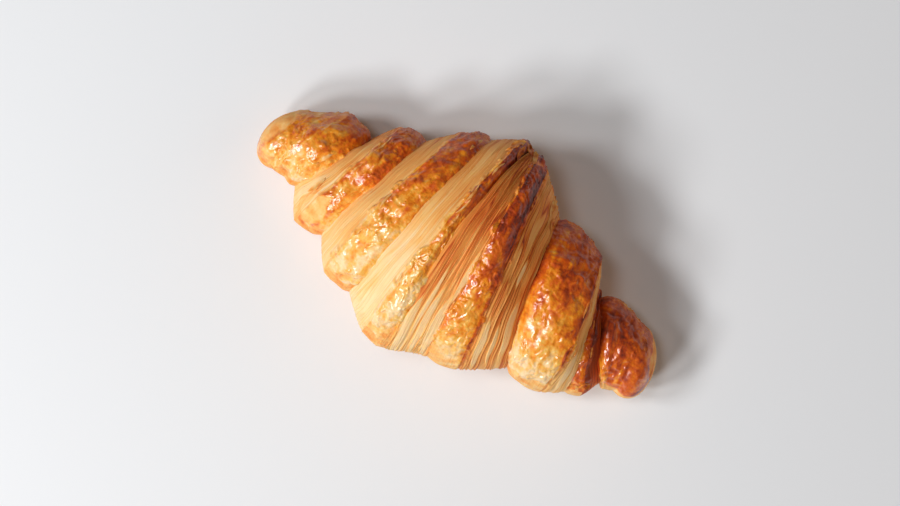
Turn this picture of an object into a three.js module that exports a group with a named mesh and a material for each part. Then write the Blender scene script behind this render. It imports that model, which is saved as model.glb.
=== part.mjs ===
// A butter croissant, baked straight. A long triangle of layered dough is rolled up from its wide
// end, so each turn is narrower than the one beneath and the roll climbs in steps to the middle.
// Every step shows the cut face of its dough, drawn out into fine layers, and behind it the smooth
// skin that was brushed with egg. The horns at both ends are the first turns.
//
// The model is in millimetres. X runs along the roll, left horn to right horn, -Y is the front,
// +Y the back, and Z is up. The origin is on the table, under the middle of the box round the roll.

import * as THREE from 'three';
import { mergeVertices } from 'three/addons/utils/BufferGeometryUtils.js';

// Driving dimensions.
const WIDEST = 86.5; // front to back, at the middle
const TALLEST = 60; // table to crown, at the middle
const SLIMMING = 0.76; // a narrow turn is taller for its width than a wide one
const EQUATOR = 0.42; // height of the widest level, as a share of the turn's height
const SETTLED = 1.2; // how far the soft underside was pressed flat on the tray
const BASE_ROUNDING = 0.75; // exponent of the lower half's outline, 1 for a plain ellipse
const HORN_LIFT = 3; // how far the horns' undersides clear the table
const LIFTED_WIDTH = 22; // a turn this wide or less is lifted by all of HORN_LIFT
const SEATED_WIDTH = 46; // and one this wide or more lies on the table

const AXIS_Y = -1.35; // the roll's axis, from which its front and back are measured below
const LEFT_TIP = { x: -80.3, y: 0 };
const RIGHT_TIP = { x: 80.3, y: -5 };
const TIP_BLUNTNESS = 2.1; // exponent of the rounded ends, 2 for an ellipse

// The lines that run round the roll, from the left horn to the right one. x is where a line lies
// at the front outline, on the ridge and at the back outline. front and back are the outline's
// distances from the middle there. cut is the depth of the crease along the line, front and back.
const LINES = {
  leftCap: { x: [-71, -71, -70], front: 8.8, back: 14.6, cut: [0, 0] },
  leftBelly: { x: [-66, -63, -57], front: 8.6, back: 21.4, cut: [0, 0] },
  creaseOne: { x: [-61, -52, -46.5], front: 10.2, back: 18.8, cut: [0.8, 1.6] },
  shoulderOne: { x: [-55, -46, -39.5], front: 19.6, back: 27.0, cut: [0, 0] },
  creaseTwo: { x: [-44, -37, -29.5], front: 20.6, back: 27.6, cut: [0.8, 1.2] },
  shoulderTwo: { x: [-36, -30, -20.5], front: 30.4, back: 35.6, cut: [0, 0] },
  creaseThree: { x: [-25, -18.5, -10.5], front: 32.2, back: 39.2, cut: [0.8, 1.0] },
  shoulderThree: { x: [-14.5, -9, -1], front: 40.6, back: 44.4, cut: [0, 0] },
  creaseFour: { x: [-4, -5, 3.5], front: 41.6, back: 44.2, cut: [0.6, 3.0] },
  shoulderFour: { x: [9, 7, 6], front: 36.2, back: 42.4, cut: [0, 0] },
  shoulderFive: { x: [20, 15.5, 11], front: 35.0, back: 39.4, cut: [0, 0] },
  creaseFive: { x: [34, 27, 23.5], front: 26.6, back: 28.8, cut: [1.6, 1.4] },
  shoulderSix: { x: [49, 48.5, 42], front: 27.2, back: 25.0, cut: [0, 0] },
  creaseSix: { x: [56, 53, 47.5], front: 23.4, back: 15.4, cut: [1.0, 1.0] },
  shoulderSeven: { x: [62.5, 54.8, 49], front: 20.6, back: 14.8, cut: [0, 0] },
  creaseSeven: { x: [65.5, 56.5, 50.5], front: 15.0, back: 13.4, cut: [2.2, 1.8] },
  rightBelly: { x: [68, 63, 60], front: 14.2, back: 13.4, cut: [0, 0] },
  rightCap: { x: [71, 71, 71], front: 13.4, back: 10.8, cut: [0, 0] },
};

// The stretches between the lines. A skin is glazed dough that bulges by the given height, and a
// face is cut dough: an upward one climbs to the right and a downward one falls. steps is the
// number of columns of vertices, and layers the number of leaves that stand out of a face.
const STRETCHES = [
  { name: 'left tip', kind: 'tip', steps: 6 },
  { name: 'left horn, outer', kind: 'skin', bulge: 0.4, steps: 5 },
  { name: 'left horn, inner', kind: 'skin', bulge: 1.2, steps: 6 },
  { name: 'first face', kind: 'upward', layers: 2, steps: 6 },
  { name: 'first turn', kind: 'skin', bulge: 1.4, steps: 5 },
  { name: 'second face', kind: 'upward', layers: 2, steps: 6 },
  { name: 'second turn', kind: 'skin', bulge: 1.6, steps: 6 },
  { name: 'third face', kind: 'upward', layers: 3, steps: 9 },
  { name: 'third turn', kind: 'skin', bulge: 0.8, steps: 3 },
  { name: 'fourth face', kind: 'upward', layers: 3, steps: 9 },
  { name: 'fourth turn, the tongue', kind: 'skin', bulge: 1.6, steps: 6 },
  { name: 'fifth face', kind: 'downward', layers: 3, steps: 9 },
  { name: 'right turn', kind: 'skin', bulge: 3.0, steps: 10 },
  { name: 'sixth face', kind: 'downward', layers: 2, steps: 6 },
  { name: 'inner turn', kind: 'skin', bulge: 0.2, steps: 3 },
  { name: 'seventh face', kind: 'downward', layers: 0, steps: 2 },
  { name: 'right horn, inner', kind: 'skin', bulge: 1.2, steps: 6 },
  { name: 'right horn, outer', kind: 'skin', bulge: 0.3, steps: 4 },
  { name: 'right tip', kind: 'tip', steps: 6 },
];
const ROWS = 44; // vertices round the roll
const LEAF_HEIGHT = 0.55; // how far the drawn-out layers stand out of a cut face
const FACE_ROUNDING = 0.25; // 0 for a face that is a plain slope, 1 for a quarter circle
const SIDE_BULGE_LOSS = 0.6; // share of a skin's bulge that is lost at the front and back outlines
const CREASE_WIDTH = 1.6; // half the width of a crease, at the roll's surface
const LUMP_HEIGHT = 0.6; // height of the slow swellings that the oven left in the dough

const mix = (a, b, t) => a + (b - a) * t;
const clamp = (t) => Math.min(1, Math.max(0, t));
const smooth = (low, high, v) => {
  const t = clamp((v - low) / (high - low));
  return t * t * (3 - 2 * t);
};

// Where a line lies along the roll, at side -1 for the front outline, 0 the ridge and 1 the back.
function lineX(line, side) {
  const [front, ridge, back] = line.x;
  return ridge + ((back - front) / 2) * side + ((front + back) / 2 - ridge) * side * side;
}

// One cross-section of the roll, from how far it reaches to the front and to the back.
function turn(front, back) {
  const width = front + back;
  const height = TALLEST * Math.pow(width / WIDEST, SLIMMING);
  const base = HORN_LIFT * (1 - smooth(LIFTED_WIDTH, SEATED_WIDTH, width));
  return { middle: (back - front) / 2, half: width / 2, top: base + height, base, equator: base + EQUATOR * height };
}

// A point on a turn. angle is measured from the crown towards the back.
function onTurn(section, angle) {
  const side = Math.sin(angle);
  const rise = Math.cos(angle);
  if (rise >= 0) {
    return {
      y: section.middle + section.half * side,
      z: section.equator + (section.top - section.equator) * rise,
    };
  }
  const reach = Math.sign(side) * Math.pow(Math.abs(side), BASE_ROUNDING);
  const drop = (section.equator - section.base + SETTLED) * Math.pow(-rise, BASE_ROUNDING);
  return { y: section.middle + section.half * reach, z: Math.max(section.base, section.equator - drop) };
}

// How the surface goes from one line to the next: a face leaves its crease a little steeply.
function climb(kind, u) {
  if (kind === 'upward') return mix(u, Math.sin((u * Math.PI) / 2), FACE_ROUNDING);
  if (kind === 'downward') return mix(u, 1 - Math.cos((u * Math.PI) / 2), FACE_ROUNDING);
  return u;
}

// Slow swellings all over the crust.
function lump(x, angle) {
  return (
    LUMP_HEIGHT * (0.5 * Math.sin(x / 5.1 + 2.3 * Math.sin(angle)) * Math.sin(3 * angle + x / 17) +
      0.5 * Math.sin(x / 9.3 - 4 * angle + 1.7))
  );
}

const lines = Object.values(LINES);

// Depth of the creases at a place, from its distance to each line.
function creaseDepth(x, side) {
  let depth = 0;
  for (const line of lines) {
    const cut = mix(line.cut[0], line.cut[1], (side + 1) / 2);
    depth += cut * Math.exp(-(((x - lineX(line, side)) / CREASE_WIDTH) ** 2));
  }
  return depth;
}

// A point moved out of the surface by the height of its relief, which the pressed underside lost.
function raised(point, relief, angle) {
  const height = relief * smooth(-0.55, 0.1, Math.cos(angle));
  return {
    x: point.x,
    y: point.y + height * Math.sin(angle),
    z: point.z + height * Math.cos(angle),
  };
}

// A point of the rounded end of a horn. inward is 0 at the tip and 1 at the horn's first line.
function tipPoint(tip, line, inward, angle) {
  const along = 1 - Math.cos((inward * Math.PI) / 2);
  const size = Math.pow(1 - Math.pow(1 - along, TIP_BLUNTNESS), 1 / TIP_BLUNTNESS);
  const section = turn(line.front, line.back);
  const { y, z } = onTurn(section, angle);
  const x = mix(tip.x, lineX(line, Math.sin(angle)), along);
  const point = {
    x,
    y: mix(tip.y, section.middle, along) + (y - section.middle) * size,
    z: section.equator + (z - section.equator) * size,
  };
  return raised(point, lump(x, angle) * along, angle);
}

// A point of a skin or a cut face, u of the way from the line on its left to the one on its right.
function rollPoint(stretch, left, right, u, angle) {
  const side = Math.sin(angle);
  const x = mix(lineX(left, side), lineX(right, side), u);
  const t = climb(stretch.kind, u);
  const section = turn(mix(left.front, right.front, t), mix(left.back, right.back, t));
  let relief = lump(x, angle) - creaseDepth(x, side);
  if (stretch.kind === 'skin') {
    relief += stretch.bulge * Math.sin(u * Math.PI) * (1 - SIDE_BULGE_LOSS * side * side);
  } else {
    const uneven = 0.75 + 0.25 * Math.sin(3 * angle + x / 4);
    relief += LEAF_HEIGHT * uneven * Math.sin(u * stretch.layers * 2 * Math.PI + Math.sin(2 * angle));
  }
  return raised({ x, ...onTurn(section, angle) }, relief, angle);
}

// A point of the crust, u of the way along a stretch and at an angle round the roll.
function crust(index, u, angle) {
  if (index === 0) return tipPoint(LEFT_TIP, lines[0], u, angle);
  if (index === lines.length) return tipPoint(RIGHT_TIP, lines[index - 1], 1 - u, angle);
  return rollPoint(STRETCHES[index], lines[index - 1], lines[index], u, angle);
}

// The closed crust, made from a sphere whose poles become the tips of the horns.
function croissantGeometry() {
  const columns = STRETCHES.reduce((sum, stretch) => sum + stretch.steps, 0);
  const places = []; // stretch and share of it, for each column
  STRETCHES.forEach((stretch, index) => {
    for (let step = 0; step < stretch.steps; step++) places.push([index, step / stretch.steps]);
  });
  places.push([STRETCHES.length - 1, 1]);
  const sphere = new THREE.SphereGeometry(1, ROWS, columns);
  const position = sphere.getAttribute('position');
  const uv = sphere.getAttribute('uv');
  for (let i = 0; i < position.count; i++) {
    const column = Math.round((1 - uv.getY(i)) * columns);
    const row = Math.round(uv.getX(i) * ROWS) % ROWS;
    const [index, u] = places[column];
    const { x, y, z } = crust(index, u, (row / ROWS) * 2 * Math.PI);
    position.setXYZ(i, x, y, z);
  }
  sphere.deleteAttribute('normal');
  sphere.deleteAttribute('uv');
  const closed = mergeVertices(sphere, 1e-4);
  closed.computeVertexNormals();
  return closed;
}

const bakedCrust = new THREE.MeshStandardMaterial({ color: 0xd68a3a, roughness: 0.45, metalness: 0 });
const croissant = new THREE.Mesh(croissantGeometry(), bakedCrust);
croissant.name = 'croissant';
croissant.position.y = AXIS_Y;

const part = new THREE.Group();
part.add(croissant);
export default part;
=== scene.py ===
"""A butter croissant, baked straight: a rolled triangle of layered dough that climbs in steps to the
middle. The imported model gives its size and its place; this script makes the crust that is seen."""

import bmesh
import bpy
import numpy as np
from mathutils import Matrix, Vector


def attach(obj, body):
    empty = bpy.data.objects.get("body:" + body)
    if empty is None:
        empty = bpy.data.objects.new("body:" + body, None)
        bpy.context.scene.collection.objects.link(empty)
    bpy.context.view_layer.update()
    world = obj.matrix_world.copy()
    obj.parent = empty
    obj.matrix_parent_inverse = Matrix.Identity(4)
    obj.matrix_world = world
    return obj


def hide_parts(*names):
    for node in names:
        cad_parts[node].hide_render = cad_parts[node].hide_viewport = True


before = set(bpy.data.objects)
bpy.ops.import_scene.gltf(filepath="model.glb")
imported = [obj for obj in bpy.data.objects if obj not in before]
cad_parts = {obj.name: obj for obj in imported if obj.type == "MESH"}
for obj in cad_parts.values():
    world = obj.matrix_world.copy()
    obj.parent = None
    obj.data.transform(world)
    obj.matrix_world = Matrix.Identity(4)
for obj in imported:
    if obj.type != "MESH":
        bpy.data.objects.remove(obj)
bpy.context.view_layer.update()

MM = 0.001  # lengths below are in millimetres, and meshes in metres


# The turns of the roll, bands of layered dough. A turn's cut face was drawn out into thin leaves, and
# its outside, brushed with egg, baked to a glazed skin. Each turn lies on the one beside it that is
# further from the middle, starts as a sphere, and hides its poles in its neighbours or in the tips.
WIDEST, TALLEST = 86.5, 60.0
SLIMMING = 0.76  # a narrow turn is taller for its width than a wide one
EQUATOR = 0.42  # height of the widest level, as a share of the turn's height
SETTLED = 1.2  # how far the soft underside was pressed flat on the tray
BASE_ROUNDING = 0.75  # exponent of the lower half's outline, 1 for a plain ellipse
HORN_LIFT = 3.0  # how far the horns' undersides clear the table
LIFTED_WIDTH, SEATED_WIDTH = 22.0, 46.0  # widths at which a turn is lifted fully, and not at all
AXIS_Y = -1.35  # the roll's axis, from which its front and back are measured below
LEFT_TIP, RIGHT_TIP = (-80.3, 0.0), (80.3, -5.0)
TIP_BLUNTNESS = 2.1  # 2 for a tip as round as a ball, more for a blunter one
FACE_ROUNDING = 0.25  # how much of a face's climb lies near its foot
SIDE_BULGE_LOSS = 0.6  # how much less a skin bulges at the outline than on the ridge
CREASE_WIDTH = 1.6
LUMP_HEIGHT = 0.6  # of the oven's slow swellings
EDGE_RIPPLES, EDGE_WANDER = (2, 3, 5, 8, 13), 0.5  # a hand-cut edge's ripples round the roll
EDGE_SEED = 500

# The lines that run round the roll: where each lies along it at the front outline, on the ridge
# and at the back outline, how far the roll reaches to the front and to the back there, and the
# depth of the crease along the line at the front and at the back.
LINES = {
    "left cap": (-71, -71, -70, 8.8, 14.6, 0, 0),
    "left belly": (-66, -63, -57, 8.6, 21.4, 0, 0),
    "crease one": (-61, -52, -46.5, 10.2, 18.8, 0.8, 1.6),
    "shoulder one": (-55, -46, -39.5, 19.6, 27.0, 0, 0),
    "crease two": (-44, -37, -29.5, 20.6, 27.6, 0.8, 1.2),
    "shoulder two": (-36, -30, -20.5, 30.4, 35.6, 0, 0),
    "crease three": (-25, -18.5, -10.5, 32.2, 39.2, 0.8, 1.0),
    "shoulder three": (-14.5, -9, -1, 40.6, 44.4, 0, 0),
    "crease four": (-4, -5, 3.5, 41.6, 44.2, 0.6, 3.0),
    "shoulder four": (9, 7, 6, 36.2, 42.4, 0, 0),
    "shoulder five": (20, 15.5, 11, 35.0, 39.4, 0, 0),
    "crease five": (34, 27, 23.5, 26.6, 28.8, 1.6, 1.4),
    "shoulder six": (49, 48.5, 42, 27.2, 25.0, 0, 0),
    "crease six": (56, 53, 47.5, 23.4, 15.4, 1.0, 1.0),
    "shoulder seven": (62.5, 54.8, 49, 20.6, 14.8, 0, 0),
    "crease seven": (65.5, 56.5, 50.5, 15.0, 13.4, 2.2, 1.8),
    "right belly": (68, 63, 60, 14.2, 13.4, 0, 0),
    "right cap": (71, 71, 71, 13.4, 10.8, 0, 0),
}

# The stretches before, between and after the lines: the turn that each belongs to, its kind, how far
# a skin bulges or the leaves of a face stand out, the spacing of its blisters or leaves, and how brown
# the oven left it at the front outline, on the ridge and at the back outline.
STRETCHES = [
    ("left_horn", "tip", 0.0, 2.6, 0.28, 0.34, 0.32),
    ("left_horn", "skin", 0.4, 2.6, 0.16, 0.36, 0.50),
    ("left_horn", "skin", 1.2, 2.6, 0.02, 0.36, 0.68),
    ("first_turn", "up", 0.22, 1.0, 0.16, 0.24, 0.44),
    ("first_turn", "skin", 1.4, 2.9, 0.04, 0.46, 0.56),
    ("second_turn", "up", 0.20, 0.9, 0.12, 0.23, 0.42),
    ("second_turn", "skin", 1.6, 3.0, -0.08, 0.38, 0.66),
    ("third_turn", "up", 0.22, 1.0, 0.02, 0.19, 0.48),
    ("third_turn", "skin", 0.8, 2.8, -0.06, 0.40, 0.98),
    ("top_turn", "up", 0.52, 1.5, 0.16, 0.46, 0.50),
    ("top_turn", "skin", 1.6, 3.0, -0.04, 0.60, 0.86),
    ("top_turn", "down", 0.62, 1.5, 0.30, 0.48, 0.30),
    ("right_turn", "skin", 3.0, 3.2, -0.24, 0.50, 0.62),
    ("right_turn", "down", 0.40, 1.2, 0.18, 0.24, 0.30),
    ("inner_turn", "skin", 0.2, 2.4, 0.46, 0.60, 0.62),
    ("inner_turn", "down", 0.15, 1.2, 0.66, 0.76, 0.64),
    ("right_horn", "skin", 1.2, 2.6, 0.20, 0.74, 0.64),
    ("right_horn", "skin", 0.3, 2.6, 0.46, 0.74, 0.64),
    ("right_horn", "tip", 0.0, 2.6, 0.52, 0.66, 0.62),
]
FACE_STEP, SKIN_STEP, ROW_STEP = 0.22, 0.36, 0.50  # distances between vertices
ROUNDNESS = 2.9  # a turn's girth for its width
CROWDING = 0.35  # how much closer the rows lie on the crown than on the underside
HIDDEN_COLUMNS = 8  # of a turn's end, inside the turn beside it
LIP, TUCK = 0.9, 4.0  # how far a face's foot laps over the skin beside it, and a skin goes under one

# Pale ribbons, where one leaf of a face was pulled flat and its neighbours part round it: the face,
# the ribbon's place across it (0 at its left, 1 at its right), where it begins and ends from the front
# outline (-1) over the ridge (0) to the back (1), and its width.
RIBBONS = [
    ("top_turn", "up", 0.83, -1.06, -0.40, 3.2),
    ("top_turn", "up", 0.90, -0.56, 0.05, 1.9),
    ("top_turn", "up", 0.55, -1.10, -0.30, 2.3),
    ("top_turn", "up", 0.17, -1.10, -0.45, 3.0),
    ("top_turn", "up", 0.38, -0.95, -0.10, 1.4),
    ("top_turn", "down", 0.27, -1.02, -0.40, 2.3),
    ("top_turn", "down", 0.83, -0.94, -0.10, 2.4),
    ("top_turn", "down", 0.60, -0.10, 0.28, 1.4),
    ("top_turn", "down", 0.55, -0.95, -0.45, 1.4),
    ("first_turn", "up", 0.30, -1.10, -0.20, 2.0),
    ("right_turn", "down", 0.55, -1.00, -0.20, 2.0),
]

# Places where the skin is bare of egg, or torn away from paler dough: centre, length, width, the
# direction of the length in degrees from the roll's, and how brown the place is.
BARE_PLACES = [
    (-76.5, 4.0, 17.0, 6.5, 70, 0.30),
    (77.4, 1.6, 17.0, 3.4, 114, 0.34),
    (-50.0, -14.0, 12.0, 9.0, 60, 0.20),
    (22.0, 31.0, 6.0, 2.6, 110, 0.25),
]
UNDERSIDE_BROWN = 0.30
UNBRUSHED_BROWN = (0.38, 0.24)  # of the dough without egg at the skins' feet, at the left and right
CUT_END_BROWN = 0.2
LEAF_STRIDE = 3.7  # moves each leaf to its own part of a random field, so that its tone is its own

lines = np.array(list(LINES.values()), float)
kinds = [stretch[1] for stretch in STRETCHES]
numbers_of = {}
for number, stretch in enumerate(STRETCHES):
    numbers_of.setdefault(stretch[0], []).append(number)
figures = np.array([stretch[2:] for stretch in STRETCHES], float)
tip_length = [lines[0][1] - LEFT_TIP[0], RIGHT_TIP[0] - lines[-1][1]]
widths = np.concatenate([tip_length[:1], np.diff(lines[:, :3], axis=0).max(axis=1), tip_length[1:]])
starts = np.concatenate([[0], np.cumsum(widths)])


def mix(a, b, t):
    return a + (b - a) * t


def smooth(low, high, value):
    t = np.clip((value - low) / (high - low), 0, 1)
    return t * t * (3 - 2 * t)


def bump(value, width):
    return np.exp(-((value / width) ** 2))


def across_roll(front, ridge, back, side):
    """A value that is given at the front outline (side -1), on the ridge (0) and at the back (1)."""
    return ridge + (back - front) / 2 * side + ((front + back) / 2 - ridge) * side**2


def random_waves(points, size, seed, count=36):
    """A smooth random field of unit variance, whose swellings lie about size apart."""
    draw = np.random.default_rng(seed)
    directions = draw.normal(size=(count, 3))
    directions /= np.linalg.norm(directions, axis=1, keepdims=True)
    numbers = directions * (2 * np.pi * draw.uniform(0.6, 1.4, (count, 1)))
    phases = draw.uniform(0, 2 * np.pi, count)
    scaled = (points / np.asarray(size, float)).astype(np.float32)
    field = np.zeros(points.shape[:-1])
    for wave, phase in zip(numbers.astype(np.float32), phases):
        field += np.cos(scaled @ wave + np.float32(phase))
    return field * np.sqrt(2 / count)


def folded(field):
    """A smooth field folded into ridges (1) and hollows (0) with straight flanks."""
    return np.abs(field - 2 * np.floor(field / 2) - 1)


def creased(points, size, seed, count=5):
    """Flat facets between straight creases: folded plane waves laid over each other."""
    draw = np.random.default_rng(seed)
    field = np.zeros(points.shape[:-1])
    for wave in range(count):
        direction = draw.normal(size=3)
        direction *= draw.uniform(0.6, 1.4) / np.linalg.norm(direction)
        field += folded((points / np.asarray(size, float)) @ direction + draw.uniform(0, 2))
    return field / count


def line_place(number, angle, side):
    """Where a line lies along the roll. A hand-cut edge wanders a little."""
    draw = np.random.default_rng(EDGE_SEED + number)
    wander = 0
    for ripples in EDGE_RIPPLES:
        height = EDGE_WANDER / np.sqrt(ripples) * draw.uniform(0.4, 1)
        wander = wander + height * np.cos(ripples * angle + draw.uniform(0, 6.3))
    return across_roll(*lines[number, :3], side) + wander


def dried_film(plain, spacing, side):
    """The relief of a glazed skin and of one without egg, and the share of folds in the first."""
    bent = plain + 1.3 * np.stack([random_waves(plain, 6.0, seed) for seed in (35, 36, 37)], axis=-1)
    stretched = spacing[..., None] * np.array([1.8, 3.4, 3.4])
    folds = folded(1.15 * random_waves(bent, stretched, 31)) ** 1.6
    pucker = folded(1.1 * random_waves(bent, 0.5 * stretched, 32))
    tight = folded(1.1 * random_waves(bent, (1.5, 3.0, 3.0), 33))  # on the dark backs
    billow = random_waves(plain, 9.0, 34)
    crisp = smooth(-1.2, 1.2, random_waves(plain, 16.0, 38))
    foil = creased(bent, (1.5, 2.3, 2.3), 39)
    broken = smooth(-0.6, 0.8, random_waves(plain, 3.5, 40))
    glaze = mix(0.25, 0.60, crisp) * folds * broken + mix(0.7, 1.3, crisp) * foil
    glaze = glaze + mix(0.06, 0.16, crisp) * pucker + 0.24 * billow
    glaze = glaze + mix(0.0, 0.12, smooth(0.1, 0.7, side)) * tight
    return glaze, 0.08 * pucker + 0.15 * billow, folds


def drawn_leaves(name, kind, swell, spacing, leaf_place, u, face_width, side, rise):
    """The leaves' relief, a number that grows by one from leaf to leaf, and the share of ribbon.

    The leaves of a face lie like shingles, each with a free edge. They meet, part and end."""
    level = leaf_place[..., 0] / spacing
    level = level + 0.50 * random_waves(leaf_place, (3.6, 60, 60), 21)
    level = level + 0.35 * random_waves(leaf_place, (12.0, 80, 80), 22)
    tread = level - np.floor(level)
    tread = np.where(kind == "down", 1 - tread, tread)
    shingle = np.where(tread < 0.7, 0.5 - tread / 0.7, -0.5 + (tread - 0.7) / 0.3)
    on_leaf = [np.floor(level) * LEAF_STRIDE, leaf_place[..., 1] / 20, leaf_place[..., 2] / 20]
    leaf_tone = random_waves(np.stack(on_leaf, axis=-1), 1, 24)
    leaves = swell * (shingle + 0.3 * leaf_tone)
    ribbon = np.zeros(leaf_place.shape[:2])
    for ribbon_turn, ribbon_kind, place, begin, end, breadth in RIBBONS:
        if ribbon_turn == name:  # a ribbon is a lens, pointed at both ends
            t = np.clip((side - begin) / (end - begin), 0, 1) * 2 - 1
            past_rim = np.abs((u - place) * face_width) - breadth / 2 * (1 - t**2)
            lens = (1 - smooth(-0.2, 0.12, past_rim)) * (1 - t**4)
            ribbon = np.maximum(ribbon, lens * (kind == ribbon_kind) * (rise > 0))
    leaves = mix(leaves, 0.20 + 0.05 * random_waves(leaf_place, (2, 30, 30), 25), ribbon)
    return leaves, level, ribbon


def columns_along(name):
    """For each column of a turn, the stretch it is in, its share of the way along it, and how far it
    is hidden in the turn beside: 0 where it is seen, and 1, or -1 at the left, at the pole."""
    numbers = numbers_of[name]
    first, last = numbers[0], numbers[-1]
    index, u = [], []
    for number in numbers:
        step = FACE_STEP if kinds[number] in ("up", "down") else SKIN_STEP
        count = int(np.ceil(widths[number] / step))
        index += [number] * count
        u += list(np.arange(count) / count)
    index, u = index + [last], u + [1.0]
    hidden = [0.0] * len(index)
    ends = np.arange(1, HIDDEN_COLUMNS + 1) / HIDDEN_COLUMNS
    if kinds[first] != "tip":
        index, u = [first] * HIDDEN_COLUMNS + index, [0.0] * HIDDEN_COLUMNS + u
        hidden = list(-ends[::-1]) + hidden
    if kinds[last] != "tip":
        index, u = index + [last] * HIDDEN_COLUMNS, u + [1.0] * HIDDEN_COLUMNS
        hidden = hidden + list(ends)
    return np.array(index), np.array(u)[:, None], np.array(hidden)[:, None]


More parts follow.
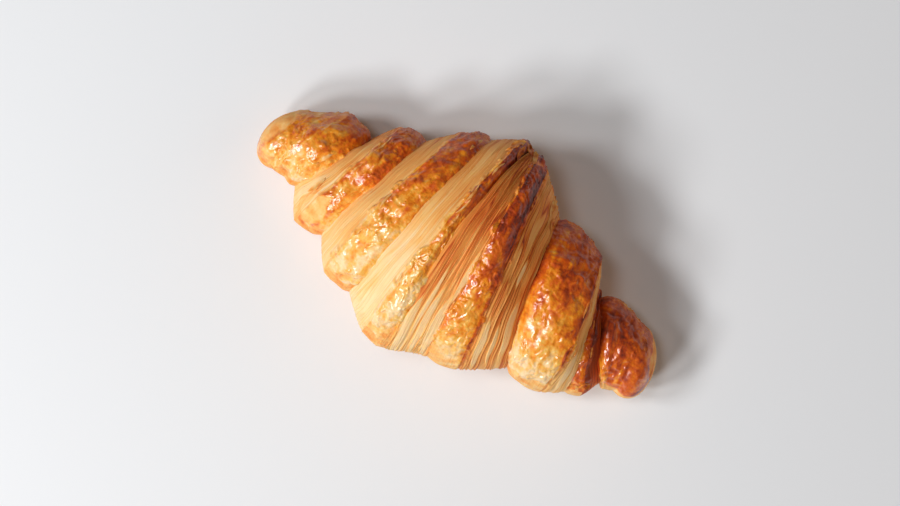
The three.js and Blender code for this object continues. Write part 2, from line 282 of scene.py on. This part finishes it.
def shape_turn(name):
    """The turn's vertices, a grid of columns along the roll by rows round it, and what colours it."""
    index, u, hidden = columns_along(name)
    widest = max(line[3] + line[4] for line in (lines[max(number - 1, 0)] for number in numbers_of[name]))
    rows = int(ROUNDNESS * widest / ROW_STEP)

    # Row 0 is the middle of the underside. The angle is 0 at the crown and grows towards the back.
    turned = (np.arange(rows) / rows - 0.5) * 2 * np.pi
    angle = (turned - CROWDING * np.sin(turned))[None, :]
    side, rise = np.sin(angle), np.cos(angle)
    left = np.clip(index - 1, 0, len(lines) - 1)
    right = np.clip(index, 0, len(lines) - 1)
    swell, spacing = figures[index, 0][:, None], figures[index, 1][:, None]
    kind = np.array(kinds)[index][:, None]
    is_face = np.isin(kind, ("up", "down")) * 1.0

    # The tips are the caps' own section, shrunk towards a point, and so are the hidden ends.
    is_left, is_right = index[:, None] == 0, index[:, None] == len(lines)
    inward = np.where(is_left, u, np.where(is_right, 1 - u, 1))
    along = 1 - np.cos(inward * np.pi / 2)
    size = (1 - (1 - along) ** TIP_BLUNTNESS) ** (1 / TIP_BLUNTNESS) * np.cos(hidden * np.pi / 2)
    tip_x = np.where(is_left, LEFT_TIP[0], RIGHT_TIP[0])
    tip_y = np.where(is_left, LEFT_TIP[1], RIGHT_TIP[1])
    steep = np.where(kind == "up", np.sin(u * np.pi / 2), 1 - np.cos(u * np.pi / 2))
    climbed = mix(u, steep, FACE_ROUNDING * is_face)
    left_x = np.concatenate([line_place(n, angle, side) for n in left])
    right_x = np.concatenate([line_place(n, angle, side) for n in right])
    front = mix(lines[left, 3][:, None], lines[right, 3][:, None], climbed)
    back = mix(lines[left, 4][:, None], lines[right, 4][:, None], climbed)
    width, middle = front + back, (back - front) / 2
    height = TALLEST * (width / WIDEST) ** SLIMMING
    base = HORN_LIFT * (1 - smooth(LIFTED_WIDTH, SEATED_WIDTH, width))
    equator = base + EQUATOR * height
    reach = np.where(rise >= 0, side, np.sign(side) * np.abs(side) ** BASE_ROUNDING)
    upper = equator + (base + height - equator) * rise
    lower = equator - (equator - base + SETTLED) * np.maximum(-rise, 0) ** BASE_ROUNDING
    z = np.where(rise >= 0, upper, np.maximum(base, lower))
    shift = np.where(is_face > 0, LIP, TUCK) * np.sin(hidden * np.pi / 2)
    x = mix(tip_x, mix(left_x, right_x, u), along) + shift
    y = mix(tip_y, middle, along) + width / 2 * reach * size
    z = equator + (z - equator) * size

    # The oven's slow swellings, the skins' bulges and the creases, which the underside lost.
    crease = np.zeros_like(x)
    for number, line in enumerate(lines):
        depth = mix(line[5], line[6], (side + 1) / 2)
        crease += depth * bump(x - line_place(number, angle, side), CREASE_WIDTH)
    lump = 0.5 * np.sin(x / 5.1 + 2.3 * side) * np.sin(3 * angle + x / 17)
    lump = LUMP_HEIGHT * (lump + 0.5 * np.sin(x / 9.3 - 4 * angle + 1.7))
    relief = lump * along - crease * mix(1.0, 0.35, is_face) * along
    relief += np.where(is_face > 0, 0, swell) * np.sin(u * np.pi) * (1 - SIDE_BULGE_LOSS * side**2)
    above = smooth(-0.55, 0.1, rise)
    plain = np.stack([x, y + relief * above * side, z + relief * above * rise], axis=-1)
    across = np.broadcast_to(starts[index][:, None] + u * widths[index][:, None] + shift, x.shape)
    leaf_place = np.stack([across, plain[..., 1], plain[..., 2]], axis=-1)

    # A skin ends in a torn rim a little past its shoulder. The egg was brushed over the top alone, and
    # missed a few places. A horn's end shows the cut dough below the rim of its skin.
    before = np.array([kinds[max(n - 1, 0)] for n in index])[:, None]
    after = np.array([kinds[min(n + 1, len(kinds) - 1)] for n in index])[:, None]
    shoulder_left = (kind == "down") | ((kind == "skin") & (before == "up"))
    shoulder_right = (kind == "up") | ((kind == "skin") & (after == "down"))
    to_left = np.where(shoulder_left, mix(tip_x, mix(left_x, right_x, u), along) - left_x, 99)
    to_right = np.where(shoulder_right, right_x - mix(left_x, right_x, u), 99)
    rim_distance = np.minimum(to_left, to_right)
    browned_and_shaded_rim = np.where(kind == "down", to_left, np.where(after == "down", to_right, 99))
    torn = 0.7 * random_waves(plain, 7.0, 11) + 0.4 * random_waves(plain, 2.6, 12)
    skin = np.where(is_face > 0, 1 - smooth(0.3, 1.0, rim_distance + torn * 0.8), 1.0)
    brown = across_roll(*(figures[index, column][:, None] for column in (2, 3, 4)), side)
    brown = mix(UNDERSIDE_BROWN, brown, smooth(-0.9, 0.2, rise)) + 0.06 * bump(rim_distance, 1.0)
    # Darker along a skin's rim where it falls to a down face, on the side turned from the lamps: partly a
    # browned edge, partly painted shade.
    brown = brown + 0.16 * bump(browned_and_shaded_rim, 1.1)
    uneven = 0.12 * random_waves(plain, 6.0, 13) + 0.06 * random_waves(plain, 2.2, 14)
    brushed = smooth(-0.25, 0.30, rise - 0.55 * smooth(-0.55, -0.95, side) + uneven)
    skin = skin * brushed
    dry_brown = mix(*UNBRUSHED_BROWN, smooth(-20, 15, x))
    brown = np.where(is_face > 0, brown, mix(dry_brown, brown, brushed))
    for place_x, place_y, length, breadth, direction, tone in BARE_PLACES:
        ahead, aside = np.cos(np.radians(direction)), np.sin(np.radians(direction))
        over_x, over_y = plain[..., 0] - place_x, plain[..., 1] + AXIS_Y - place_y
        lengthwise = (over_x * ahead + over_y * aside) / length
        crosswise = (over_y * ahead - over_x * aside) / breadth
        far = np.hypot(lengthwise, crosswise) * 2 + 0.12 * torn
        bare = (1 - smooth(0.75, 1.05, far)) * above
        skin = skin * (1 - bare)
        brown = mix(brown, tone, bare) + 0.14 * bump(far - 1.15, 0.10) * above
    cut_end = smooth(62, 70, x) * smooth(0.5, -0.1, side - 0.08 * (x - 70))
    height_share = rise * size
    below_skin = cut_end * (1 - smooth(0.36, 0.46, height_share))
    skin = skin * (1 - below_skin)
    brown = mix(brown, CUT_END_BROWN, below_skin) + 0.3 * cut_end * bump(height_share - 0.5, 0.08)

    face_width = right_x - left_x
    leaves, level, ribbon = drawn_leaves(name, kind, swell, spacing, leaf_place, u, face_width, side, rise)
    glaze, dry, crinkle = dried_film(plain, spacing, side)
    detail = mix(mix(dry, leaves, is_face), glaze, skin) * above * along * np.cos(hidden * np.pi / 2)
    points = plain + np.stack([np.zeros_like(x), detail * side, detail * rise], axis=-1)

    colouring = {
        "skin": skin,  # 1 for glazed skin, 0 for bare dough
        "brown": brown,
        "leaf_level": level,  # a whole number at every leaf's edge
        "ribbon": ribbon,
        "leafy": is_face * (1 - ribbon),
        # How dark the lines between the leaves are: partly the leaves' browned edges, partly painted shade
        # in the gaps, deeper where the leaves stand out more.
        "parted": is_face * (1 - ribbon) * np.clip(swell * 1.4, 0.40, 1.0),
        "crinkle": crinkle,
        "shine": skin * mix(1.0, 0.4, smooth(0.1, 0.7, side)) * (1 - 0.8 * bump(browned_and_shaded_rim, 2.5)),
    }
    return points, leaf_place, colouring


class Wire:
    """An output of a node tree. Arithmetic on it adds Math nodes."""

    def __init__(self, socket):
        self.socket = socket

    def node(self, kind, settings=None, output=0, **sockets):
        made = self.socket.id_data.nodes.new(kind)
        for name, value in (settings or {}).items():
            if name == "stops":  # in order, from 0 to 1
                for place, colour in value[1:-1]:
                    made.color_ramp.elements.new(place)
                for element, (place, colour) in zip(made.color_ramp.elements, value):
                    element.position = place
                    element.color = (*colour, 1)
            else:
                setattr(made, name, value)
        for name, value in sockets.items():
            key = int(name[1:]) if name[1:].isdigit() else name.replace("_", " ").capitalize()
            if isinstance(value, Wire):
                self.socket.id_data.links.new(value.socket, made.inputs[key])
            else:
                made.inputs[key].default_value = value
        return Wire(made.outputs[output])

    def math(self, operation, *others):
        values = {f"i{n}": value for n, value in enumerate((self, *others))}
        return self.node("ShaderNodeMath", {"operation": operation}, **values)

    def __add__(self, other):
        return self.math("ADD", other)

    def __sub__(self, other):
        return self.math("SUBTRACT", other)

    def __mul__(self, other):
        return self.math("MULTIPLY", other)

    def __rsub__(self, other):
        return self.node("ShaderNodeMath", {"operation": "SUBTRACT"}, i0=other, i1=self)

    __radd__, __rmul__ = __add__, __mul__


baked = bpy.data.materials.new("baked crust")
baked.use_nodes = True
surface = baked.node_tree.nodes["Principled BSDF"]
start = Wire(surface.outputs[0])


def painted(name, output="Fac"):
    return start.node("ShaderNodeAttribute", {"attribute_name": name}, output)


def speckle(scale, detail, vector):
    return start.node("ShaderNodeTexNoise", None, "Fac", vector=vector, scale=scale, detail=detail)


spot = start.node("ShaderNodeTexCoord", output="Object")
skin_part, browned, crinkled, shine = (painted(name) for name in ("skin", "brown", "crinkle", "shine"))
leaf_level, ribbon_part = painted("leaf_level"), painted("ribbon")
leafy, parted = painted("leafy"), painted("parted")
leaf_spot = painted("leaf_place", "Vector")


def stretched_spot(across, around):
    """The place on the dough, scaled across the leaves and along them."""
    scale = (across, around, around)
    return start.node("ShaderNodeVectorMath", {"operation": "MULTIPLY"}, i0=leaf_spot, i1=scale)


# Patterns of the dough: lines that follow the leaves, and patches and grains of several sizes.
streak = speckle(1.0, 3.0, stretched_spot(1.4, 0.03))
thread = speckle(1.0, 2.0, stretched_spot(3.4, 0.08))
mottle = speckle(300.0, 3.0, spot)
patch = speckle(90.0, 2.0, spot)
grain = speckle(1100.0, 3.0, spot)
fleck = speckle(620.0, 2.0, spot)

# Between two leaves runs a thin dark line, partly the leaves' browned edges and partly painted shade in
# the gap between them, and no leaf is as brown as the next.
leaf_gap_and_shade = 1 - leaf_level.math("PINGPONG", 0.5) * 6.0
leaf_gap_and_shade = leaf_gap_and_shade.math("MAXIMUM", 0.0) * parted
leaf_number = leaf_level.math("FLOOR") * LEAF_STRIDE
around = start.node("ShaderNodeSeparateXYZ", None, "Y", vector=leaf_spot) * 0.05
leaf_tone = speckle(1.0, 1.0, start.node("ShaderNodeCombineXYZ", None, 0, x=leaf_number, y=around, z=0.0))
leaf_lines = (leaf_tone - 0.5) * 0.9 + (streak - 0.5) * 0.5 + (thread - 0.5) * 0.4
face_brown = browned + leaf_lines * leafy * (browned + 0.42)
face_brown = face_brown + leaf_gap_and_shade * (browned * 0.5 + 0.22) + (patch - 0.5) * 0.2
dots = ((grain - 0.69) * 8.0).math("MAXIMUM", 0.0).math("MINIMUM", 1.0)
face_brown = face_brown + ((mottle - 0.5) * 0.8 + dots * 0.5) * (1 - leafy)
face_brown = face_brown * (1 - ribbon_part * 0.8)
face_colour = start.node(
    "ShaderNodeValToRGB",
    {
        "stops": [
            (0.0, (0.95, 0.65, 0.33)),
            (0.22, (0.96, 0.50, 0.15)),
            (0.42, (0.90, 0.34, 0.068)),
            (0.60, (0.76, 0.19, 0.028)),
            (0.80, (0.54, 0.080, 0.011)),
            (1.0, (0.26, 0.036, 0.008)),
        ]
    },
    fac=face_brown,
)
brushing = speckle(1.0, 3.0, stretched_spot(0.36, 0.10))
# The folds' crests are paler and their hollows browner: painted light on the crests and painted shade in
# the hollows.
skin_brown = browned - (crinkled - 0.5) * 0.08 + (brushing - 0.5) * 0.8 + (mottle - 0.5) * 0.6
skin_brown = skin_brown + (patch - 0.5) * 0.4 + (fleck - 0.5) * 0.35
skin_colour = start.node(
    "ShaderNodeValToRGB",
    {
        "stops": [
            (0.0, (0.93, 0.63, 0.31)),
            (0.20, (0.92, 0.47, 0.08)),
            (0.40, (0.87, 0.28, 0.012)),
            (0.60, (0.68, 0.12, 0.005)),
            (0.80, (0.44, 0.052, 0.006)),
            (1.0, (0.14, 0.018, 0.008)),
        ]
    },
    fac=skin_brown,
)

# Glazed skin is smoother than bare dough, and its film of egg shines more in some patches.
crust_colour = start.node(
    "ShaderNodeMix", {"data_type": "RGBA"}, 2, i0=skin_part, i6=face_colour, i7=skin_colour
)
links = baked.node_tree.links
links.new(crust_colour.socket, surface.inputs["Base Color"])
roughness = 0.66 - skin_part * 0.20 + (mottle - 0.5) * 0.25
links.new(roughness.socket, surface.inputs["Roughness"])
dull_patches = speckle(150.0, 2.0, spot)
dull = start.node("ShaderNodeMapRange", None, 0, value=dull_patches, i1=0.35, i2=0.6, i3=0.35, i4=1.0)
links.new((shine * dull).socket, surface.inputs["Coat Weight"])
surface.inputs["Coat Roughness"].default_value = 0.25
surface.inputs["Coat IOR"].default_value = 1.85
surface.inputs["Specular IOR Level"].default_value = 0.3
surface.inputs["Subsurface Weight"].default_value = 0.25
surface.inputs["Subsurface Radius"].default_value = (1.0, 0.45, 0.2)
surface.inputs["Subsurface Scale"].default_value = 0.004
skin_relief = skin_part * (mottle * 0.45 + fleck * 0.75 + grain * 0.45)
face_relief = (1 - skin_part) * (streak * 0.6 + thread * 0.5 + grain * 0.15 - leaf_gap_and_shade * 0.5)
relief = skin_relief + face_relief
dents = start.node("ShaderNodeBump", None, 0, strength=0.9, distance=0.0005, height=relief)
links.new(dents.socket, surface.inputs["Normal"])

# A turn's sphere has a ring for every column of its grid and a meridian for every row.
crust_points = []
for name in numbers_of:
    points, leaf_place, colouring = shape_turn(name)
    columns, rows = points.shape[0] - 1, points.shape[1]
    dough = bmesh.new()
    bmesh.ops.create_uvsphere(dough, u_segments=rows, v_segments=columns, radius=1)
    turn_mesh = bpy.data.meshes.new(name)
    dough.to_mesh(turn_mesh)
    dough.free()
    ball = np.empty(len(turn_mesh.vertices) * 3, np.float32)
    turn_mesh.vertices.foreach_get("co", ball)
    ball = ball.reshape(-1, 3).astype(float)
    column = np.rint(np.arccos(np.clip(ball[:, 2], -1, 1)) / np.pi * columns).astype(int)
    row = np.rint(np.arctan2(ball[:, 1], ball[:, 0]) / (2 * np.pi) * rows).astype(int) % rows
    placed = (points + (0, AXIS_Y, 0))[column, row] * MM
    crust_points.append(placed / MM)
    turn_mesh.vertices.foreach_set("co", placed.astype(np.float32).ravel())
    turn_mesh.shade_smooth()
    for layer_name, grid in colouring.items():
        layer = turn_mesh.attributes.new(layer_name, "FLOAT", "POINT")
        values = np.broadcast_to(grid, points.shape[:2])[column, row]
        layer.data.foreach_set("value", values.astype(np.float32))
    layer = turn_mesh.attributes.new("leaf_place", "FLOAT_VECTOR", "POINT")
    layer.data.foreach_set("vector", leaf_place[column, row].astype(np.float32).ravel())
    turn_mesh.materials.append(baked)
    turn = bpy.data.objects.new(name, turn_mesh)
    bpy.context.collection.objects.link(turn)
    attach(turn, "root")
    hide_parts("croissant")


# The loose flakes. Shards of the baked film and of the leaves' edges came free as the roll cooled, and
# hang on by one long side. Each is drawn as a small sheet laid on the crust, pointed at both ends,
# whose other long side lifts and curls.
FLAKE_THICKNESS = 0.12
LONG_CELLS, WIDE_CELLS = 14, 5  # of a flake's sheet
CELL = 0.5  # of the height map of the crust that they are laid on
MAP_LENGTH, MAP_WIDTH = 360, 200  # in cells
MAP_CORNER = np.array([-90.0, -50.0])
FLAKES = [  # middle, length, width, direction from the roll's, lift of the free side, browning, glaze
    (-6.0, 24.0, 5.0, 1.2, 80, 0.4, 0.36, 0.1),
    (19.5, 28.0, 6.0, 1.8, 104, 0.3, 0.34, 0.0),
    (22.5, 23.0, 5.0, 1.4, 112, 0.3, 0.40, 0.0),
    (61.0, -19.0, 5.0, 2.4, 62, 0.6, 0.60, 0.6),
    (57.5, -21.0, 4.0, 1.6, 40, 0.5, 0.48, 0.4),
    (-2.0, 40.5, 6.0, 2.2, 50, 0.9, 0.46, 0.1),
    (2.5, 41.5, 5.0, 2.0, 130, 0.9, 0.56, 0.3),
    (5.5, 39.5, 5.0, 1.8, 110, 0.8, 0.40, 0.0),
    (0.5, 38.0, 6.0, 1.6, 95, 0.6, 0.60, 0.2),
    (-56.0, 2.0, 7.0, 1.2, 62, 0.5, 0.22, 0.0),
    (-53.5, -7.0, 8.0, 1.6, 68, 0.6, 0.18, 0.0),
    (-14.0, 33.0, 6.0, 1.2, 70, 0.4, 0.30, 0.0),
    (49.0, -13.0, 8.0, 1.0, 98, 0.4, 0.66, 0.8),
    (72.0, 4.0, 6.0, 1.2, 118, 0.3, 0.60, 0.6),
]

# A few slivers along the shoulders, where the leaves' edges are.
RANDOM_FLAKES = 16
draw = np.random.default_rng(61)
line_names = list(LINES)
for flake in range(RANDOM_FLAKES):
    number = line_names.index(draw.choice([n for n in line_names if n.startswith("shoulder")]))
    line, side = lines[number], draw.uniform(-0.8, 0.75)
    middle, half_width = (line[4] - line[3]) / 2, (line[4] + line[3]) / 2
    here, ahead = across_roll(*line[:3], side), across_roll(*line[:3], side + 0.05)
    direction = np.degrees(np.arctan2(0.05 * half_width, ahead - here)) + draw.uniform(-5, 5)
    tone = figures[number, 2:] @ (0.25 - 0.25 * side, 0.5, 0.25 + 0.25 * side) + draw.uniform(-0.12, 0.06)
    place = (here + draw.uniform(-1.2, 1.2), middle + side * half_width + AXIS_Y)
    FLAKES.append((*place, draw.uniform(3.5, 8.0), draw.uniform(0.4, 0.8), direction, 0.15, tone, 0.0))

height_map = np.zeros((MAP_LENGTH, MAP_WIDTH))
crust_points = np.concatenate(crust_points)
cell = np.rint((crust_points[:, :2] - MAP_CORNER) / CELL).astype(int)
np.maximum.at(height_map, (cell[:, 0], cell[:, 1]), crust_points[:, 2])
padded = np.pad(height_map, 1, mode="edge")
height_map = sum(padded[i : i + MAP_LENGTH, j : j + MAP_WIDTH] for i in range(3) for j in range(3)) / 9


def crust_height(x, y):
    """The height of the crust at a place in plan, between the map's cells."""
    across, back = (x - MAP_CORNER[0]) / CELL, (y - MAP_CORNER[1]) / CELL
    i, j = np.floor(across).astype(int), np.floor(back).astype(int)
    near = mix(height_map[i, j], height_map[i + 1, j], across - i)
    far = mix(height_map[i, j + 1], height_map[i + 1, j + 1], across - i)
    return mix(near, far, back - j)


shards = bmesh.new()
glazing, browning = [], []
for x, y, length, breadth, direction, lift, tone, glazed in FLAKES:
    sheet = bmesh.ops.create_grid(shards, x_segments=LONG_CELLS, y_segments=WIDE_CELLS, size=1)["verts"]
    p, q = np.array([vertex.co[:2] for vertex in sheet]).T
    ahead, aside = np.cos(np.radians(direction)), np.sin(np.radians(direction))
    ragged = 1 + 0.25 * np.sin(5 * p + x) + 0.15 * np.sin(11 * p + y)
    over = breadth / 2 * q * (1 - np.abs(p) ** 2.5) * np.where(q > 0, ragged, 1)
    bow = 0.08 * length * (p**2 - 0.3) * np.sin(x * 3.1)
    flake_x = x + p * length / 2 * ahead + (over + bow) * aside
    flake_y = y + p * length / 2 * aside - (over + bow) * ahead
    rim_x = x + p * length / 2 * ahead + bow * aside
    rim_y = y + p * length / 2 * aside - bow * ahead
    ground = np.maximum(crust_height(flake_x, flake_y), crust_height(rim_x, rim_y) - 0.5)
    ground = np.maximum(ground, crust_height(np.array(x), np.array(y)) - 2.0)
    free = (q + 1) / 2 * (1 - p**2)
    flake_z = ground + FLAKE_THICKNESS + lift * free**1.5
    for vertex, place in zip(sheet, np.stack([flake_x, flake_y, flake_z], axis=-1) * MM):
        vertex.co = place
    glazing += [glazed] * len(sheet)
    browning += list(tone + 0.25 * free + 0.1 * np.sin(7 * p))
bmesh.ops.recalc_face_normals(shards, faces=shards.faces)
bmesh.ops.solidify(shards, geom=shards.faces[:], thickness=FLAKE_THICKNESS * MM)
flake_mesh = bpy.data.meshes.new("loose_flakes")
shards.to_mesh(flake_mesh)
shards.free()
flake_mesh.shade_smooth()
for layer_name, values in (("skin", glazing), ("brown", browning)):
    layer = flake_mesh.attributes.new(layer_name, "FLOAT", "POINT")
    layer.data.foreach_set("value", np.resize(values, len(flake_mesh.vertices)).astype(np.float32))
flake_mesh.materials.append(baked)
flakes = bpy.data.objects.new("loose_flakes", flake_mesh)
bpy.context.collection.objects.link(flakes)
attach(flakes, "root")
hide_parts("croissant")


# The table, the light and the camera. Daylight comes through a window at the front left and another
# at the left. A lamp overhead and two white cards send in light that the crust doesn't mirror. The
# camera looks straight down, turned so that the roll lies aslant.
bpy.ops.mesh.primitive_plane_add(size=6, location=(0, 0, 0))
table = bpy.context.object
table.name = "table"
table_paint = bpy.data.materials.new("table")
table_paint.use_nodes = True
table_surface = table_paint.node_tree.nodes["Principled BSDF"]
table_surface.inputs["Base Color"].default_value = (0.80, 0.80, 0.80, 1)
table_surface.inputs["Roughness"].default_value = 0.6
table.data.materials.append(table_paint)

LAMP_DISTANCE, CARD_SIZE = 1.4, 1.7  # metres
DAYLIGHT, CARD_LIGHT = (0.975, 1.0, 1.03), (1.0, 0.84, 0.74)


def lamp(name, azimuth, elevation, size, power, colour, mirrored=True):
    """A disc lamp by its angle anticlockwise from +X and its angle above the table, in degrees."""
    light = bpy.data.lights.new(name, "AREA")
    light.color = colour
    light.shape = "DISK"
    light.size = size
    light.energy = power
    holder = bpy.data.objects.new(name, light)
    a, e = np.radians(azimuth), np.radians(elevation)
    toward = Vector((np.cos(a) * np.cos(e), np.sin(a) * np.cos(e), np.sin(e)))
    holder.location = toward * LAMP_DISTANCE
    holder.rotation_mode = "QUATERNION"
    holder.rotation_quaternion = toward.to_track_quat("Z", "Y")
    holder.visible_glossy = mirrored
    bpy.context.collection.objects.link(holder)


lamp("window, left half", 231, 42, 0.27, 6.7, DAYLIGHT)
lamp("window, right half", 254, 44, 0.27, 6.7, DAYLIGHT)
lamp("side window", 205, 50, 0.36, 6.2, DAYLIGHT)
lamp("overhead", 184, 76, 0.30, 2.4, DAYLIGHT, mirrored=False)
lamp("right card", 20, 22, CARD_SIZE, 5.2, CARD_LIGHT, mirrored=False)
lamp("front card", 300, 20, CARD_SIZE, 1.0, DAYLIGHT, mirrored=False)

# The room's own light is dim and warm.
world = bpy.data.worlds.new("room")
world.use_nodes = True
world.node_tree.nodes["Background"].inputs["Color"].default_value = (1.0, 0.90, 0.84, 1)
world.node_tree.nodes["Background"].inputs["Strength"].default_value = 0.035
bpy.context.scene.world = world

PICTURE_TURN = 31.2  # how far the roll is turned in the picture, in degrees
LENS, SENSOR_WIDTH = 95.0, 36.0
PIXELS_ACROSS = 900
PIXELS_PER_MM = 2.905  # at the height of the roll's outline
OUTLINE_HEIGHT = 25.0
PICTURE_SHIFT = (3.14, 0.28)  # how far right and up of the picture's centre the roll's middle is
camera = bpy.data.cameras.new("camera")
camera.lens = LENS
camera.sensor_width = SENSOR_WIDTH
distance = LENS * PIXELS_ACROSS / PIXELS_PER_MM / SENSOR_WIDTH
turned = np.radians(PICTURE_TURN)
right_way = np.array([np.cos(turned), np.sin(turned)])
up_way = np.array([-np.sin(turned), np.cos(turned)])
spot_xy = np.array([0, AXIS_Y]) - PICTURE_SHIFT[0] * right_way - PICTURE_SHIFT[1] * up_way
viewer = bpy.data.objects.new("camera", camera)
viewer.location = (spot_xy[0] * MM, spot_xy[1] * MM, (distance + OUTLINE_HEIGHT) * MM)
viewer.rotation_euler = (0, 0, turned)
bpy.context.collection.objects.link(viewer)
bpy.context.scene.camera = viewer
bpy.context.scene.view_settings.view_transform = "Standard"
